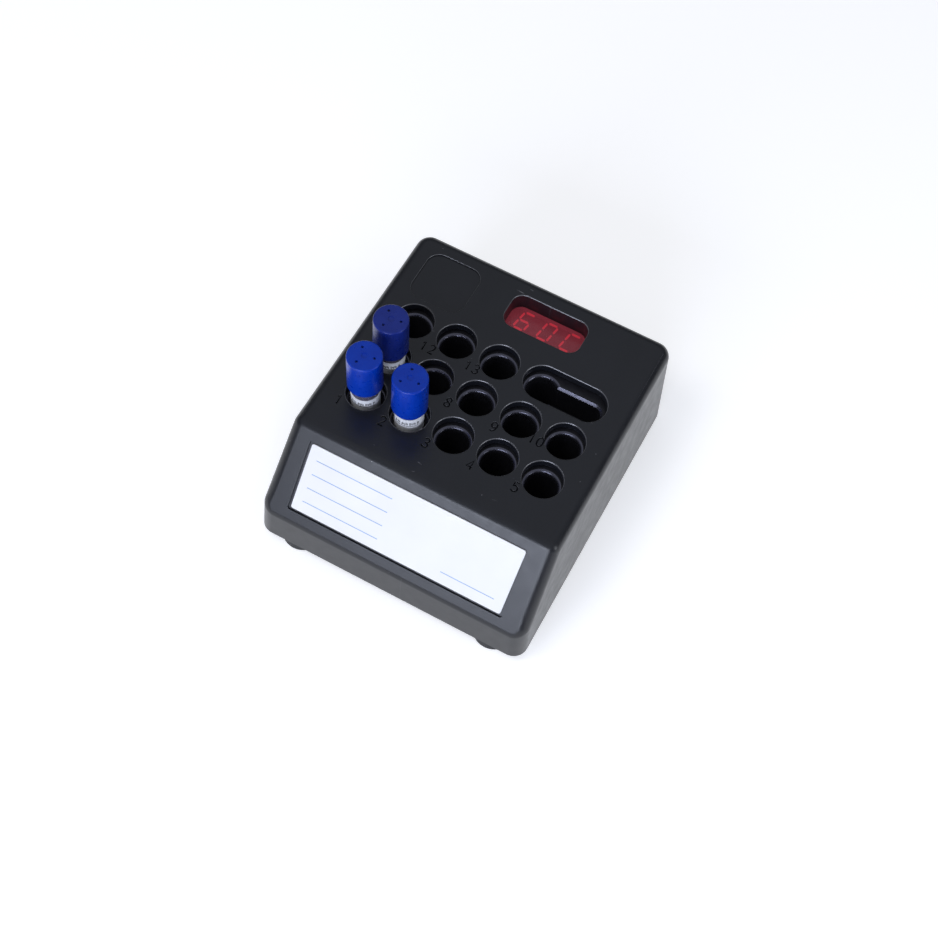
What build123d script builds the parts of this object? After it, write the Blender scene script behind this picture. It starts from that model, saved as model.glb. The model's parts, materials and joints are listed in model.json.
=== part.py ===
from build123d import *
import os
from math import atan2, cos, radians, sin, tan

os.makedirs("parts", exist_ok=True)

# A small dry bath incubator. Millimetres, +Z up, -Y is the sloped front.
# The origin is on the table, under the middle of the moulded body.

# Moulded body
BODY_WIDTH = 105.0          # at the lower rim
BODY_LENGTH = 118.0         # at the lower rim, front to back
BODY_HEIGHT = 43.0          # lower rim to flat top
DRAFT_ANGLE = 2.8           # wall draft in degrees
CORNER_RADIUS = 5.4         # upright corners
EDGE_RADIUS = 4.1           # rounding round the top and the sloped face
WALL = 2.5                  # side and sloped walls
TOP_WALL = 3.0              # flat top
RIDGE_FROM_FRONT = 23.6     # lower front edge to the ridge, along Y
SLOPE_FOOT_HEIGHT = 14.3    # lower rim to the foot of the sloped face
RIM_ROUNDING = 0.5          # soft edge round each opening in the top

# Feet, base plate and their screws
FOOT_HEIGHT = 5.0
FOOT_DIAMETER = 15.0
FOOT_EDGE = 0.8
FOOT_INSET_X = 13.9         # foot centres inside the lower rim
FOOT_INSET_Y = 7.85
FOOT_RECESS_DIAMETER = 7.6
FOOT_RECESS_DEPTH = 3.0
PLATE_THICKNESS = 2.5
PLATE_GAP = 0.3             # plate edge to housing wall
PLATE_RIB_HEIGHT = 2.0
PLATE_RIB_THICKNESS = 1.6
SCREW_DIAMETER = 3.0
SCREW_HEAD_DIAMETER = 5.6
SCREW_HEAD_HEIGHT = 2.0
SCREW_PLAY = 0.1            # screw to thread or pilot hole, on the diameter
SCREW_CLEARANCE = 0.4       # screw to clearance hole, on the diameter
SCREW_SOCKET_WIDTH = 2.0
SCREW_SOCKET_DEPTH = 1.0
BODY_SCREW_LENGTH = 14.0
BOSS_DIAMETER = 8.0
BOSS_HEIGHT = 15.0
BOSS_RIB_THICKNESS = 1.8

# Wells
WELL_SPACING = 17.0         # well to well, both ways
COLUMN_COUNT = 5
FIRST_ROW_FROM_FRONT = 44.65
BACK_ROW_COUNT = 3
OPENING_DIAMETER = 14.2     # holes in the housing
WELL_DIAMETER = 11.0        # holes in the block
WELL_DEPTH = 23.2
WELL_LEAD_IN = 1.4          # radius of the polished mouth
SLOT_WIDTH = 7.0            # narrow half of the crusher slot
SLOT_END_MARGIN = 1.7       # slot end inside the end of the housing opening
SLOT_DEPTH = 18.0
SLOT_LEAD_IN = 0.8

# Block, heater and insulation
BLOCK_TOP_DROP = 4.8        # flat top of the housing to the block
BLOCK_HEIGHT = 29.2
BLOCK_MARGIN = 10.0         # outermost well centres to the block's sides
BLOCK_CORNER = 3.0
BLOCK_SCREW_INSET = 6.0     # block's sides to its fixing screws
BLOCK_SCREW_ENTRY = 4.0
SPACER_WIDTH = 6.0          # hexagon across flats
MAT_THICKNESS = 1.2
MAT_MARGIN = 11.0           # heater mat inside the block's outline
MAT_CORNER = 2.0
JACKET_THICKNESS = 2.4
JACKET_GAP = 0.2            # jacket to block
JACKET_TOP_DROP = 1.2       # top of the jacket below the top of the block
SPACER_PASSAGE = 1.6        # jacket hole over the spacer's corners
PROBE_DIAMETER = 3.0
PROBE_DEPTH = 12.0
PROBE_TAIL = 3.6            # probe standing out of the block
PROBE_PLAY = 0.2
PROBE_HEIGHT = 12.0         # above the block's underside
PROBE_PASSAGE = 5.0         # hole in the jacket

# Display
WINDOW_WIDTH = 29.6
WINDOW_LENGTH = 14.3
WINDOW_CORNER = 4.3
WINDOW_X = 6.7
WINDOW_FROM_REAR = 16.85    # rear rim to the window's centre
WINDOW_DROP = 7.2           # flat top to the red filter
COLLAR_WALL = 1.8
FILTER_THICKNESS = 1.2
FILTER_OVERLAP = 1.7        # filter past the opening's edge
MODULE_WIDTH = 26.8
MODULE_LENGTH = 13.6
MODULE_HEIGHT = 6.4
MODULE_EDGE = 0.4
DISPLAY_BOARD_WIDTH = 48.0
DISPLAY_BOARD_LENGTH = 18.0
DISPLAY_SCREW_SPREAD = 42.0
DISPLAY_BOSS_DIAMETER = 5.4
DISPLAY_SCREW_LENGTH = 6.0
SMALL_SCREW_DIAMETER = 2.2
SMALL_HEAD_DIAMETER = 4.0
SMALL_HEAD_HEIGHT = 1.4

# Shallow recesses outside
PANEL_SIZE = 21.0
PANEL_CORNER = 5.0
PANEL_DEPTH = 0.6
PANEL_ROUNDING = 0.3
PANEL_X = -32.3
PANEL_FROM_REAR = 19.5
LABEL_WIDTH = 81.6
LABEL_HEIGHT = 25.5
LABEL_THICKNESS = 0.5
LABEL_CORNER = 0.8
LABEL_FROM_RIDGE = 5.6      # down the slope from the sharp ridge
LABEL_GROOVE = 1.0          # open groove round the label
LABEL_RECESS = 0.7

# Control board and what it carries
BOARD_SIDE_GAP = 18.5       # board's ends to the body's sides
BOARD_LENGTH = 18.0
BOARD_THICKNESS = 1.6
BOARD_CORNER = 1.0
BOARD_FROM_JACKET = 3.6
BOARD_POST_DIAMETER = 5.6
BOARD_POST_HEIGHT = 4.5
BOARD_SCREW_INSET = 3.4
BOARD_SCREW_LENGTH = 5.0
JACK_WIDTH = 9.0
JACK_HEIGHT = 11.0
JACK_X = -20.5
JACK_SETBACK = 0.5          # jack's face inside the rear wall's face
JACK_BORE = 6.4
JACK_BORE_DEPTH = 9.5
JACK_PIN_DIAMETER = 2.1
JACK_LENGTH = 14.0
JACK_PLAY = 0.3
HEADER_WIDTH = 22.9
HEADER_LENGTH = 2.5
CHIP_SIZE = 7.0
CHIP_HEIGHT = 1.4
CHIP_X = 6.7
CAPACITOR_X = -10.5
CAPACITOR_DIAMETER = 8.0
CAPACITOR_HEIGHT = 11.5
CAPACITOR_GROOVE = 0.4
TRANSISTOR_X = 23.0
TRANSISTOR_WIDTH = 6.6
TRANSISTOR_LENGTH = 6.2
TRANSISTOR_HEIGHT = 2.3
TAB_WIDTH = 5.4
TAB_LENGTH = 1.4
TAB_THICKNESS = 0.6
TERMINAL_X = 16.9
TERMINAL_WIDTH = 10.2
TERMINAL_LENGTH = 7.6
TERMINAL_HEIGHT = 8.5
TERMINAL_SCREW_DIAMETER = 2.6
TERMINAL_SCREW_DEPTH = 1.0
TAIL_WIDTH = 7.0
TAIL_THICKNESS = 0.4
TAIL_RISE = 5.0             # mat to the terminal's mouth
TAIL_BEND = 1.2
TAIL_PLAY = 0.3             # tail to the slit in the tray
CONNECTOR_WIDTH = 5.4
CONNECTOR_LENGTH = 5.8
CONNECTOR_HEIGHT = 6.0
LEAD_DIAMETER = 1.6
LEAD_RUN = 6.2              # probe's tail to its connector, along Y
LEAD_BEND = 2.7

# Indicator vials
TUBE_DIAMETER = 10.1
TUBE_WALL = 0.9
TUBE_LENGTH = 48.1
TUBE_END_RADIUS = 2.2
VIAL_SEAT_GAP = 0.1         # tube end to the well's floor
VIAL_SIDE_GAP = 0.15        # least gap between a leaning vial and its well
LABEL_FILM = 0.15           # paper label on the tube
VIAL_LABEL_LOW = 6.0        # above the tube's end
CAP_DIAMETER = 12.3         # at the top
CAP_DRAFT = 0.15            # larger at the skirt's edge, on the radius
CAP_HEIGHT = 16.25
CAP_CROWN = 1.5
CAP_EDGE = 0.6
CAP_PLAY = 0.2              # cap to paper label, on the radius
CAP_SEAT_GAP = 0.1
CAP_TRAVEL = 1.0            # an open cap stands this much higher
VENT_DIAMETER = 1.0
VENT_COUNT = 3
VENT_RING_RADIUS = 3.5
GATE_DIAMETER = 2.2
GATE_DEPTH = 0.2
FILTER_PAPER = 0.3
AMPOULE_DIAMETER = 7.0
AMPOULE_LENGTH = 26.0
AMPOULE_NECK = 2.6
AMPOULE_NECK_LENGTH = 5.0
STRIP_DIAMETER = 6.0
STRIP_THICKNESS = 0.6

# Where the vials stand: column, row, turn of the vents, lean direction,
# cap lifted, bare tube between cap and label
VIALS = {
    "vial_1": (0, 0, 131, 216, CAP_TRAVEL, 4.4),
    "vial_2": (0, 1, 132, 131, 0, 3.3),
    "vial_3": (1, 0, 110, 144, 0, 2.4),
}

# Levels and places worked out from the sizes above
BASE_Z = FOOT_HEIGHT
PLATE_TOP_Z = BASE_Z + PLATE_THICKNESS
TOP_Z = BASE_Z + BODY_HEIGHT
BLOCK_TOP_Z = TOP_Z - BLOCK_TOP_DROP
BLOCK_Z = BLOCK_TOP_Z - BLOCK_HEIGHT
WELL_FLOOR_Z = BLOCK_TOP_Z - WELL_DEPTH
FILTER_TOP_Z = TOP_Z - WINDOW_DROP
FILTER_Z = FILTER_TOP_Z - FILTER_THICKNESS
MODULE_Z = FILTER_Z - MODULE_HEIGHT
DISPLAY_BOARD_Z = MODULE_Z - BOARD_THICKNESS
BOARD_Z = PLATE_TOP_Z + BOARD_POST_HEIGHT
BOARD_TOP_Z = BOARD_Z + BOARD_THICKNESS

FOOT_SPREAD_X = BODY_WIDTH - 2 * FOOT_INSET_X
FOOT_SPREAD_Y = BODY_LENGTH - 2 * FOOT_INSET_Y
BOARD_WIDTH = BODY_WIDTH - 2 * BOARD_SIDE_GAP
FIRST_ROW_Y = FIRST_ROW_FROM_FRONT - BODY_LENGTH / 2
ROW_Y = [FIRST_ROW_Y + row * WELL_SPACING for row in range(3)]
COLUMN_X = [(column - (COLUMN_COUNT - 1) / 2) * WELL_SPACING for column in range(COLUMN_COUNT)]
WELLS = [(x, y) for y in ROW_Y[:2] for x in COLUMN_X]
WELLS += [(x, ROW_Y[2]) for x in COLUMN_X[:BACK_ROW_COUNT]]
SLOT_ROUND_X = COLUMN_X[BACK_ROW_COUNT]
SLOT_FAR_X = COLUMN_X[BACK_ROW_COUNT + 1]
SLOT_Y = ROW_Y[2]
SLOT_END_X = SLOT_FAR_X + OPENING_DIAMETER / 2 - SLOT_END_MARGIN - SLOT_WIDTH / 2

BLOCK_Y = ROW_Y[1]
BLOCK_WIDTH = (COLUMN_COUNT - 1) * WELL_SPACING + 2 * BLOCK_MARGIN
BLOCK_LENGTH = 2 * WELL_SPACING + 2 * BLOCK_MARGIN
BLOCK_REAR_Y = BLOCK_Y + BLOCK_LENGTH / 2
JACKET_WIDTH = BLOCK_WIDTH + 2 * (JACKET_GAP + JACKET_THICKNESS)
JACKET_LENGTH = BLOCK_LENGTH + 2 * (JACKET_GAP + JACKET_THICKNESS)
JACKET_REAR_Y = BLOCK_Y + JACKET_LENGTH / 2
JACKET_TOP_Z = BLOCK_TOP_Z - JACKET_TOP_DROP
BLOCK_SCREW_X = BLOCK_WIDTH / 2 - BLOCK_SCREW_INSET
BLOCK_SCREW_Y = BLOCK_LENGTH / 2 - BLOCK_SCREW_INSET

WINDOW_Y = BODY_LENGTH / 2 - WINDOW_FROM_REAR
PANEL_Y = BODY_LENGTH / 2 - PANEL_FROM_REAR
BOARD_Y = JACKET_REAR_Y + BOARD_FROM_JACKET + BOARD_LENGTH / 2
PROBE_X = (COLUMN_X[0] + COLUMN_X[1]) / 2
CUTOUT_X = (COLUMN_X[1] + COLUMN_X[2]) / 2
PROBE_Z = BLOCK_Z + PROBE_HEIGHT
TAIL_Z = BLOCK_Z - MAT_THICKNESS / 2
BOARD_FRONT_Y = BOARD_Y - BOARD_LENGTH / 2
CONNECTOR_Y = BLOCK_REAR_Y + PROBE_TAIL + LEAD_RUN
DISPLAY_BOARD_REAR_Y = WINDOW_Y + DISPLAY_BOARD_LENGTH / 2

# The sloped face: its angle, its plane and where it starts
RIDGE_Y = RIDGE_FROM_FRONT - BODY_LENGTH / 2
SLOPE_FOOT_Z = BASE_Z + SLOPE_FOOT_HEIGHT
SLOPE_FOOT_Y = -BODY_LENGTH / 2 + SLOPE_FOOT_HEIGHT * tan(radians(DRAFT_ANGLE))
SLOPE_RUN = RIDGE_Y - SLOPE_FOOT_Y
SLOPE_RISE = TOP_Z - SLOPE_FOOT_Z
SLOPE_ANGLE = atan2(SLOPE_RISE, SLOPE_RUN)
UP_SLOPE = Vector(0, cos(SLOPE_ANGLE), sin(SLOPE_ANGLE))
SLOPE_NORMAL = Vector(0, -sin(SLOPE_ANGLE), cos(SLOPE_ANGLE))
RIDGE = Vector(0, RIDGE_Y, TOP_Z)
LABEL_PLANE = Plane(
    origin=RIDGE - UP_SLOPE * (LABEL_FROM_RIDGE + LABEL_HEIGHT / 2),
    x_dir=(1, 0, 0),
    z_dir=SLOPE_NORMAL,
)


def rear_wall_y(z):
    """Y of the rear wall's outer face at height z."""
    return BODY_LENGTH / 2 - (z - BASE_Z) * tan(radians(DRAFT_ANGLE))


def body_form(inset, top_inset):
    """The drafted body with its sloped face, moved inward by the wall thickness."""
    with BuildPart() as form:
        with BuildSketch(Plane.XY.offset(BASE_Z)):
            Rectangle(BODY_WIDTH - 2 * inset, BODY_LENGTH - 2 * inset)
        extrude(amount=BODY_HEIGHT - top_inset, taper=DRAFT_ANGLE)
        level_edges = form.faces().filter_by(Axis.Z).edges()
        fillet(form.edges() - level_edges, CORNER_RADIUS - inset)
        start = RIDGE - SLOPE_NORMAL * inset
        reach = UP_SLOPE * BODY_LENGTH
        high, low = start + reach, start - reach
        with BuildSketch(Plane.YZ):
            with BuildLine():
                Polyline((high.Y, high.Z), (low.Y, low.Z), (low.Y, high.Z), close=True)
            make_face()
        extrude(amount=BODY_WIDTH, both=True, mode=Mode.SUBTRACT)
        top = form.faces().filter_by(Axis.Z).sort_by(Axis.Z)[-1]
        slope = form.faces().filter_by(lambda face: face.normal_at().dot(SLOPE_NORMAL) > 0.999)[0]
        ridge = top.edges().filter_by(Axis.X).sort_by(Axis.Y)[0]
        border = ShapeList([edge for edge in slope.edges() if edge.center() != ridge.center()])
        fillet(top.edges() + border, EDGE_RADIUS - min(inset, EDGE_RADIUS / 2))
    return form.part


def foot_places():
    """The four feet, with the screw and boss above each."""
    return GridLocations(FOOT_SPREAD_X, FOOT_SPREAD_Y, 2, 2)


def screw(plane, head_diameter, head_height, diameter, length):
    """A socket head screw; the plane lies under its head and faces the head."""
    with BuildPart() as fastener:
        with BuildSketch(plane):
            Circle(head_diameter / 2)
        extrude(amount=head_height)
        with BuildSketch(plane):
            Circle(diameter / 2)
        extrude(amount=-length)
        with BuildSketch(plane.offset(head_height)):
            RegularPolygon(SCREW_SOCKET_WIDTH / 2, 6)
        extrude(amount=-SCREW_SOCKET_DEPTH, mode=Mode.SUBTRACT)
    return fastener.part


# Housing: one moulding, open below, with bosses, the display collar and every opening
with BuildPart() as bosses:
    with BuildSketch(Plane.XY.offset(PLATE_TOP_Z)):
        with foot_places():
            Circle(BOSS_DIAMETER / 2)
    extrude(amount=BOSS_HEIGHT)
    with BuildSketch(Plane.XY.offset(PLATE_TOP_Z)):
        with foot_places():
            Rectangle(BODY_WIDTH / 2, BOSS_RIB_THICKNESS)
            Rectangle(BOSS_RIB_THICKNESS, BODY_WIDTH / 4)
        Rectangle(
            FOOT_SPREAD_X - BOSS_DIAMETER, BODY_LENGTH, mode=Mode.SUBTRACT
        )
        Rectangle(
            BODY_WIDTH, FOOT_SPREAD_Y - BOSS_DIAMETER, mode=Mode.SUBTRACT
        )
    extrude(amount=BOSS_HEIGHT - SCREW_DIAMETER)
    add(body_form(WALL / 2, TOP_WALL / 2), mode=Mode.INTERSECT)

with BuildPart() as housing:
    add(body_form(0, 0))
    add(body_form(WALL, TOP_WALL), mode=Mode.SUBTRACT)
    add(bosses)
    with BuildSketch(Plane.XY.offset(PLATE_TOP_Z)):
        with foot_places():
            Circle((SCREW_DIAMETER + SCREW_PLAY) / 2)
    extrude(amount=BOSS_HEIGHT - WALL, mode=Mode.SUBTRACT)
    with BuildSketch(Plane.XY.offset(FILTER_TOP_Z)):
        with Locations((WINDOW_X, WINDOW_Y)):
            RectangleRounded(
                WINDOW_WIDTH + 2 * COLLAR_WALL,
                WINDOW_LENGTH + 2 * COLLAR_WALL,
                WINDOW_CORNER + COLLAR_WALL,
            )
    extrude(amount=WINDOW_DROP - TOP_WALL / 2)
    with BuildSketch(Plane.XY.offset(MODULE_Z)):
        with Locations((WINDOW_X, WINDOW_Y)):
            with GridLocations(DISPLAY_SCREW_SPREAD, 0, 2, 1):
                Circle(DISPLAY_BOSS_DIAMETER / 2)
    extrude(amount=TOP_Z - MODULE_Z - TOP_WALL / 2)
    with BuildSketch(Plane.XY.offset(MODULE_Z)):
        with Locations((WINDOW_X, WINDOW_Y)):
            with GridLocations(DISPLAY_SCREW_SPREAD, 0, 2, 1):
                Circle((SMALL_SCREW_DIAMETER + SCREW_PLAY) / 2)
    extrude(amount=DISPLAY_SCREW_LENGTH, mode=Mode.SUBTRACT)
    with BuildSketch(Plane.XY.offset(TOP_Z)):
        with Locations(*WELLS):
            Circle(OPENING_DIAMETER / 2)
        with Locations(((SLOT_ROUND_X + SLOT_FAR_X) / 2, SLOT_Y)):
            SlotCenterToCenter(SLOT_FAR_X - SLOT_ROUND_X, OPENING_DIAMETER)
    extrude(amount=-2 * TOP_WALL, mode=Mode.SUBTRACT)
    with BuildSketch(Plane.XY.offset(TOP_Z)):
        with Locations((WINDOW_X, WINDOW_Y)):
            RectangleRounded(WINDOW_WIDTH, WINDOW_LENGTH, WINDOW_CORNER)
    extrude(amount=-WINDOW_DROP, mode=Mode.SUBTRACT)
    rims = housing.faces().filter_by(Axis.Z).sort_by(Axis.Z)[-1].inner_wires().edges()
    fillet(rims, RIM_ROUNDING)
    with BuildSketch(Plane.XY.offset(TOP_Z)):
        with Locations((PANEL_X, PANEL_Y)):
            RectangleRounded(PANEL_SIZE, PANEL_SIZE, PANEL_CORNER)
    extrude(amount=-PANEL_DEPTH, mode=Mode.SUBTRACT)
    outlines = housing.faces().filter_by(Axis.Z).sort_by(Axis.Z)[-1].inner_wires()
    fillet(outlines.sort_by_distance((PANEL_X, PANEL_Y, TOP_Z))[0].edges(), PANEL_ROUNDING)
    with BuildSketch(LABEL_PLANE):
        RectangleRounded(
            LABEL_WIDTH + 2 * LABEL_GROOVE, LABEL_HEIGHT + 2 * LABEL_GROOVE, LABEL_CORNER
        )
    extrude(amount=-LABEL_RECESS, mode=Mode.SUBTRACT)
    with BuildSketch(Plane.XZ.offset(-BODY_LENGTH / 2)):
        with Locations((JACK_X, BOARD_TOP_Z + JACK_HEIGHT / 2)):
            Rectangle(JACK_WIDTH + 2 * JACK_PLAY, JACK_HEIGHT + 2 * JACK_PLAY)
    extrude(amount=3 * WALL, mode=Mode.SUBTRACT)

housing.part.label = "housing"
export_step(housing.part, "parts/housing.step")

# Front label plate, bare
with BuildPart() as front_label:
    with BuildSketch(LABEL_PLANE.offset(-LABEL_RECESS)):
        RectangleRounded(LABEL_WIDTH, LABEL_HEIGHT, LABEL_CORNER)
    extrude(amount=LABEL_THICKNESS)

front_label.part.label = "front_label"
export_step(front_label.part, "parts/front_label.step")

# Base plate with its screw holes, ribs and board posts
with BuildPart() as base_plate:
    plate_width = BODY_WIDTH - 2 * (WALL + PLATE_GAP)
    plate_length = BODY_LENGTH - 2 * (WALL + PLATE_GAP)
    with BuildSketch(Plane.XY.offset(BASE_Z)):
        RectangleRounded(plate_width, plate_length, CORNER_RADIUS - WALL - PLATE_GAP)
    extrude(amount=PLATE_THICKNESS)
    with BuildSketch(Plane.XY.offset(PLATE_TOP_Z)):
        with Locations((0, BOARD_Y)):
            with GridLocations(
                BOARD_WIDTH - 2 * BOARD_SCREW_INSET, BOARD_LENGTH - 2 * BOARD_SCREW_INSET, 2, 2
            ):
                Circle(BOARD_POST_DIAMETER / 2)
    extrude(amount=BOARD_POST_HEIGHT)
    with BuildSketch(Plane.XY.offset(PLATE_TOP_Z)):
        front_rib_y = BLOCK_Y - JACKET_LENGTH / 2 - WELL_SPACING / 2
        with Locations((0, front_rib_y)):
            with GridLocations(0, WELL_SPACING / 2, 1, 2):
                Rectangle(FOOT_SPREAD_X - 2 * BOSS_DIAMETER, PLATE_RIB_THICKNESS)
    extrude(amount=PLATE_RIB_HEIGHT)
    with BuildSketch(Plane.XY.offset(PLATE_TOP_Z)):
        with foot_places():
            Circle((SCREW_DIAMETER + SCREW_CLEARANCE) / 2)
        with Locations((0, BLOCK_Y)):
            with GridLocations(2 * BLOCK_SCREW_X, 2 * BLOCK_SCREW_Y, 2, 2):
                Circle((SCREW_DIAMETER + SCREW_CLEARANCE) / 2)
    extrude(amount=-PLATE_THICKNESS, mode=Mode.SUBTRACT)
    with BuildSketch(Plane.XY.offset(BASE_Z)):
        with Locations((0, BLOCK_Y)):
            with GridLocations(2 * BLOCK_SCREW_X, 2 * BLOCK_SCREW_Y, 2, 2):
                Circle((SCREW_HEAD_DIAMETER + SCREW_CLEARANCE) / 2)
    extrude(amount=PLATE_THICKNESS / 2, mode=Mode.SUBTRACT)
    with BuildSketch(Plane.XY.offset(BOARD_Z)):
        with Locations((0, BOARD_Y)):
            with GridLocations(
                BOARD_WIDTH - 2 * BOARD_SCREW_INSET, BOARD_LENGTH - 2 * BOARD_SCREW_INSET, 2, 2
            ):
                Circle((SMALL_SCREW_DIAMETER + SCREW_PLAY) / 2)
    extrude(amount=-BOARD_POST_HEIGHT, mode=Mode.SUBTRACT)

base_plate.part.label = "base_plate"
export_step(base_plate.part, "parts/base_plate.step")

# Rubber feet, each held by the screw that goes up into a housing boss
foot_centres = [place.position for place in foot_places()]
foot_names = ["foot_front_left", "foot_rear_left", "foot_front_right", "foot_rear_right"]

for foot_name, centre in zip(foot_names, foot_centres):
    with BuildPart() as foot:
        with BuildSketch(Plane.XY.offset(BASE_Z)):
            with Locations((centre.X, centre.Y)):
                Circle(FOOT_DIAMETER / 2)
        extrude(amount=-FOOT_HEIGHT)
        fillet(foot.faces().sort_by(Axis.Z)[0].edges(), FOOT_EDGE)
        with BuildSketch(Plane.XY):
            with Locations((centre.X, centre.Y)):
                Circle(FOOT_RECESS_DIAMETER / 2)
        extrude(amount=FOOT_RECESS_DEPTH, mode=Mode.SUBTRACT)
        with BuildSketch(Plane.XY):
            with Locations((centre.X, centre.Y)):
                Circle((SCREW_DIAMETER + SCREW_CLEARANCE) / 2)
        extrude(amount=FOOT_HEIGHT, mode=Mode.SUBTRACT)
    foot.part.label = foot_name
    export_step(foot.part, f"parts/{foot_name}.step")

with BuildPart() as foot_screws:
    for centre in foot_centres:
        under_head = Plane((centre.X, centre.Y, FOOT_RECESS_DEPTH), z_dir=(0, 0, -1))
        add(screw(
            under_head, SCREW_HEAD_DIAMETER, SCREW_HEAD_HEIGHT, SCREW_DIAMETER, BODY_SCREW_LENGTH
        ))

foot_screws.part.label = "foot_screws"
export_step(foot_screws.part, "parts/foot_screws.step")

# Heater block: thirteen round wells and the crusher slot, with polished mouths
with BuildPart() as heater_block:
    with BuildSketch(Plane.XY.offset(BLOCK_Z)):
        with Locations((0, BLOCK_Y)):
            RectangleRounded(BLOCK_WIDTH, BLOCK_LENGTH, BLOCK_CORNER)
    extrude(amount=BLOCK_HEIGHT)
    with BuildSketch(Plane.XY.offset(BLOCK_TOP_Z)):
        with Locations(*WELLS, (SLOT_ROUND_X, SLOT_Y)):
            Circle(WELL_DIAMETER / 2)
    extrude(amount=-WELL_DEPTH, mode=Mode.SUBTRACT)
    mouths = heater_block.faces().sort_by(Axis.Z)[-1].inner_wires().edges()
    fillet(mouths, WELL_LEAD_IN)
    with BuildSketch(Plane.XY.offset(BLOCK_TOP_Z)):
        with Locations(((SLOT_ROUND_X + SLOT_END_X) / 2, SLOT_Y)):
            SlotCenterToCenter(SLOT_END_X - SLOT_ROUND_X, SLOT_WIDTH)
    extrude(amount=-SLOT_DEPTH, mode=Mode.SUBTRACT)
    with BuildSketch(Plane.XY.offset(BLOCK_TOP_Z)):
        with Locations(((SLOT_ROUND_X + SLOT_END_X) / 2, SLOT_Y)):
            SlotCenterToCenter(SLOT_END_X - SLOT_ROUND_X, SLOT_WIDTH + 2 * SLOT_LEAD_IN)
    extrude(amount=-SLOT_LEAD_IN, taper=45, mode=Mode.SUBTRACT)
    with BuildSketch(Plane.XZ.offset(-BLOCK_REAR_Y)):
        with Locations((PROBE_X, PROBE_Z), (CUTOUT_X, PROBE_Z)):
            Circle((PROBE_DIAMETER + PROBE_PLAY) / 2)
    extrude(amount=PROBE_DEPTH, mode=Mode.SUBTRACT)
    with BuildSketch(Plane.XY.offset(BLOCK_Z)):
        with Locations((0, BLOCK_Y)):
            with GridLocations(2 * BLOCK_SCREW_X, 2 * BLOCK_SCREW_Y, 2, 2):
                Circle((SCREW_DIAMETER + SCREW_PLAY) / 2)
    extrude(amount=BLOCK_SCREW_ENTRY + SCREW_PLAY, mode=Mode.SUBTRACT)

heater_block.part.label = "heater_block"
export_step(heater_block.part, "parts/heater_block.step")

# Hexagon spacers that carry the block, and the screws that hold it down
with BuildPart() as block_spacers:
    with BuildSketch(Plane.XY.offset(PLATE_TOP_Z)):
        with Locations((0, BLOCK_Y)):
            with GridLocations(2 * BLOCK_SCREW_X, 2 * BLOCK_SCREW_Y, 2, 2):
                RegularPolygon(SPACER_WIDTH / 2, 6, major_radius=False)
                Circle((SCREW_DIAMETER + SCREW_PLAY) / 2, mode=Mode.SUBTRACT)
    extrude(amount=BLOCK_Z - PLATE_TOP_Z)

block_spacers.part.label = "block_spacers"
export_step(block_spacers.part, "parts/block_spacers.step")

block_screw_seat_z = BASE_Z + PLATE_THICKNESS / 2
with BuildPart() as block_screws:
    for place in GridLocations(2 * BLOCK_SCREW_X, 2 * BLOCK_SCREW_Y, 2, 2):
        under_head = Plane(
            (place.position.X, BLOCK_Y + place.position.Y, block_screw_seat_z), z_dir=(0, 0, -1)
        )
        add(screw(
            under_head,
            SCREW_HEAD_DIAMETER,
            SCREW_HEAD_HEIGHT,
            SCREW_DIAMETER,
            BLOCK_Z + BLOCK_SCREW_ENTRY - block_screw_seat_z,
        ))

block_screws.part.label = "block_screws"
export_step(block_screws.part, "parts/block_screws.step")

# Heater mat under the block
with BuildPart() as heater_mat:
    with BuildSketch(Plane.XY.offset(BLOCK_Z - MAT_THICKNESS)):
        with Locations((0, BLOCK_Y)):
            RectangleRounded(
                BLOCK_WIDTH - 2 * MAT_MARGIN, BLOCK_LENGTH - 2 * MAT_MARGIN, MAT_CORNER
            )
    extrude(amount=MAT_THICKNESS)

heater_mat.part.label = "heater_mat"
export_step(heater_mat.part, "parts/heater_mat.step")

# Foam insulation: a tray under and round the block
with BuildPart() as insulation_tray:
    with BuildSketch(Plane.XY.offset(PLATE_TOP_Z)):
        with Locations((0, BLOCK_Y)):
            RectangleRounded(
                JACKET_WIDTH, JACKET_LENGTH, BLOCK_CORNER + JACKET_GAP + JACKET_THICKNESS
            )
    extrude(amount=JACKET_TOP_Z - PLATE_TOP_Z)
    with BuildSketch(Plane.XY.offset(BLOCK_Z - MAT_THICKNESS)):
        with Locations((0, BLOCK_Y)):
            RectangleRounded(
                BLOCK_WIDTH + 2 * JACKET_GAP,
                BLOCK_LENGTH + 2 * JACKET_GAP,
                BLOCK_CORNER + JACKET_GAP,
            )
    extrude(amount=BLOCK_HEIGHT + MAT_THICKNESS, mode=Mode.SUBTRACT)
    with BuildSketch(Plane.XY.offset(PLATE_TOP_Z)):
        with Locations((0, BLOCK_Y)):
            with GridLocations(2 * BLOCK_SCREW_X, 2 * BLOCK_SCREW_Y, 2, 2):
                Circle(SPACER_WIDTH / 2 + SPACER_PASSAGE)
    extrude(amount=BLOCK_Z - PLATE_TOP_Z, mode=Mode.SUBTRACT)
    with BuildSketch(Plane.XZ.offset(-JACKET_REAR_Y)):
        with Locations((PROBE_X, PROBE_Z), (CUTOUT_X, PROBE_Z)):
            Circle(PROBE_PASSAGE / 2)
    extrude(amount=JACKET_THICKNESS + JACKET_GAP, mode=Mode.SUBTRACT)
    with BuildSketch(Plane.XZ.offset(-JACKET_REAR_Y)):
        with Locations((TERMINAL_X, TAIL_Z)):
            Rectangle(TAIL_WIDTH + 2 * TAIL_PLAY, TAIL_THICKNESS + 2 * TAIL_PLAY)
    extrude(amount=JACKET_THICKNESS + JACKET_GAP, mode=Mode.SUBTRACT)

insulation_tray.part.label = "insulation_tray"
export_step(insulation_tray.part, "parts/insulation_tray.step")

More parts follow.
